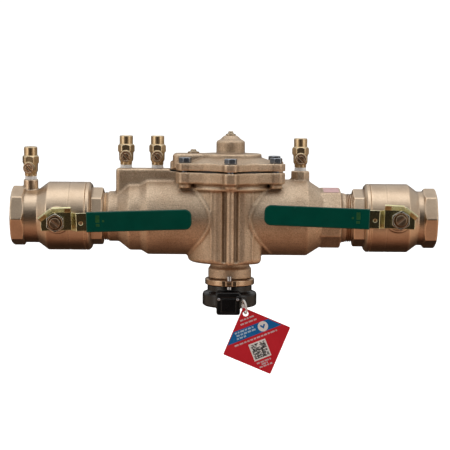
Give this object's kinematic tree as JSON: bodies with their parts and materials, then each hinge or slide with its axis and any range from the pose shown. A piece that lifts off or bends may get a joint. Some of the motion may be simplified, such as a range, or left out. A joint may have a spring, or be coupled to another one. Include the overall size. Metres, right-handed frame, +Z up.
{
  "type": "reduced-pressure backflow preventer",
  "caption": "Bronze reduced-pressure backflow preventer with lever shut-off valves, test cocks, relief valve, flood sensor and hanging tag.",
  "frame": {"origin": "centre of the inlet port's mouth, on the pipe axis", "axes": "+X along the flow to the outlet, +Z up towards the test cocks, levers on the -Y side"},
  "size_m": [0.5328, 0.151, 0.2998],
  "materials": {
    "cast_bronze": "sand cast, satin grain",
    "machined_bronze": "machined, satin",
    "bright_brass": "machined, bright",
    "zinc_yellow_steel": "yellow zinc plated",
    "zinc_steel": "bright zinc plated",
    "stainless_steel": "turned",
    "chromed_ball": "polished plate",
    "green_vinyl": "dipped, semi gloss",
    "ptfe": "waxy white",
    "black_plastic": "moulded, satin",
    "grey_plastic": "moulded, filled",
    "nylon_white": "moulded",
    "rubber_black": "moulded",
    "tag_card": "printed and laminated"
  },
  "bodies": {
    "root": {"main_body": "cast_bronze", "inlet_valve_body": "cast_bronze", "inlet_valve_end_cap": "cast_bronze", "outlet_valve_body": "cast_bronze", "outlet_valve_end_cap": "cast_bronze", "inlet_ball_seats": "ptfe", "outlet_ball_seats": "ptfe", "inlet_stem_packing": "ptfe", "outlet_stem_packing": "ptfe", "inlet_packing_nut": "bright_brass", "outlet_packing_nut": "bright_brass", "relief_cover": "cast_bronze", "relief_diaphragm": "rubber_black", "cover_bolts": "zinc_steel", "cover_vent_screw": "bright_brass", "sense_passage_plug": "bright_brass", "relief_seat": "machined_bronze", "relief_stem_guide": "grey_plastic", "check1_seat": "machined_bronze", "check1_cage": "grey_plastic", "check2_seat": "machined_bronze", "check2_cage": "grey_plastic", "check_seat_orings": "rubber_black", "flood_sensor_housing": "black_plastic", "sensor_clamp_ring": "machined_bronze", "sensor_clamp_screw": "zinc_steel", "test_cock_1_body": "bright_brass", "test_cock_2_body": "bright_brass", "test_cock_3_body": "bright_brass", "test_cock_4_body": "bright_brass", "test_cock_thread_tapes": "ptfe", "check1_spring": "stainless_steel", "check2_spring": "stainless_steel", "relief_spring": "stainless_steel"},
    "inlet_valve_spindle": {"inlet_ball": "chromed_ball", "inlet_stem": "machined_bronze", "inlet_handle_lever": "zinc_yellow_steel", "inlet_handle_grip": "green_vinyl", "inlet_handle_nut": "zinc_yellow_steel"},
    "outlet_valve_spindle": {"outlet_ball": "chromed_ball", "outlet_stem": "machined_bronze", "outlet_handle_lever": "zinc_yellow_steel", "outlet_handle_grip": "green_vinyl", "outlet_handle_nut": "zinc_yellow_steel"},
    "test_cock_1_spindle": {"test_cock_1_plug": "machined_bronze"},
    "test_cock_2_spindle": {"test_cock_2_plug": "machined_bronze"},
    "test_cock_3_spindle": {"test_cock_3_plug": "machined_bronze"},
    "test_cock_4_spindle": {"test_cock_4_plug": "machined_bronze"},
    "check1_moving": {"check1_poppet": "grey_plastic", "check1_disc": "rubber_black"},
    "check2_moving": {"check2_poppet": "grey_plastic", "check2_disc": "rubber_black"},
    "relief_moving": {"relief_stem": "stainless_steel", "relief_disc": "rubber_black", "diaphragm_plates": "stainless_steel", "diaphragm_nut": "zinc_steel"},
    "dust_cover": {"sensor_dust_cover": "black_plastic"},
    "tie": {"tag_tie": "nylon_white"},
    "tag_card": {"tag": "tag_card"}
  },
  "joints": [
    {"name": "inlet_valve_turn", "type": "hinge", "parent": "root", "child": "inlet_valve_spindle", "pos_m": [0.0602, 0, 0], "axis": [0, -0.9983, -0.0576], "range_deg": [0, 90]},
    {"name": "outlet_valve_turn", "type": "hinge", "parent": "root", "child": "outlet_valve_spindle", "pos_m": [0.4824, 0, 0], "axis": [0, 0.9994, -0.0349], "range_deg": [0, 90]},
    {"name": "test_cock_1_turn", "type": "hinge", "parent": "root", "child": "test_cock_1_spindle", "pos_m": [0.023, -0.00351, 0.0609], "axis": [-0.1392, -0.9886, -0.057], "range_deg": [0, 90]},
    {"name": "test_cock_2_turn", "type": "hinge", "parent": "root", "child": "test_cock_2_spindle", "pos_m": [0.1428, 0, 0.0758], "axis": [0, -1, 0], "range_deg": [0, 90]},
    {"name": "test_cock_3_turn", "type": "hinge", "parent": "root", "child": "test_cock_3_spindle", "pos_m": [0.1822, 0, 0.0758], "axis": [0, -1, 0], "range_deg": [0, 90]},
    {"name": "test_cock_4_turn", "type": "hinge", "parent": "root", "child": "test_cock_4_spindle", "pos_m": [0.3622, 0, 0.0738], "axis": [0, -1, 0], "range_deg": [0, 90]},
    {"name": "check1_lift", "type": "slide", "parent": "root", "child": "check1_moving", "axis": [1, 0, 0], "range_m": [0, 0.009], "stiffness_N_per_m": 1800, "springref_m": -0.01, "deforming": ["check1_spring"]},
    {"name": "check2_lift", "type": "slide", "parent": "root", "child": "check2_moving", "axis": [1, 0, 0], "range_m": [0, 0.009], "stiffness_N_per_m": 900, "springref_m": -0.01, "deforming": ["check2_spring"]},
    {"name": "relief_stroke", "type": "slide", "parent": "root", "child": "relief_moving", "axis": [0, 0, 1], "range_m": [-0.008, 0], "stiffness_N_per_m": 900, "springref_m": 0.01, "deforming": ["relief_spring", "relief_diaphragm"]},
    {"name": "dust_cover_pull", "type": "slide", "parent": "root", "child": "dust_cover", "axis": [0, -1, 0], "range_m": [0, 0.03]},
    {"name": "tie_swing", "type": "hinge", "parent": "root", "child": "tie", "pos_m": [0.2914, -0.046, -0.1], "axis": [-1, 0, 0], "range_deg": [0, 15]},
    {"name": "tag_swing", "type": "hinge", "parent": "tie", "child": "tag_card", "pos_m": [0.2942, -0.0464, -0.1164], "axis": [0, 1, 0], "range_deg": [-30, 35]}
  ]
}
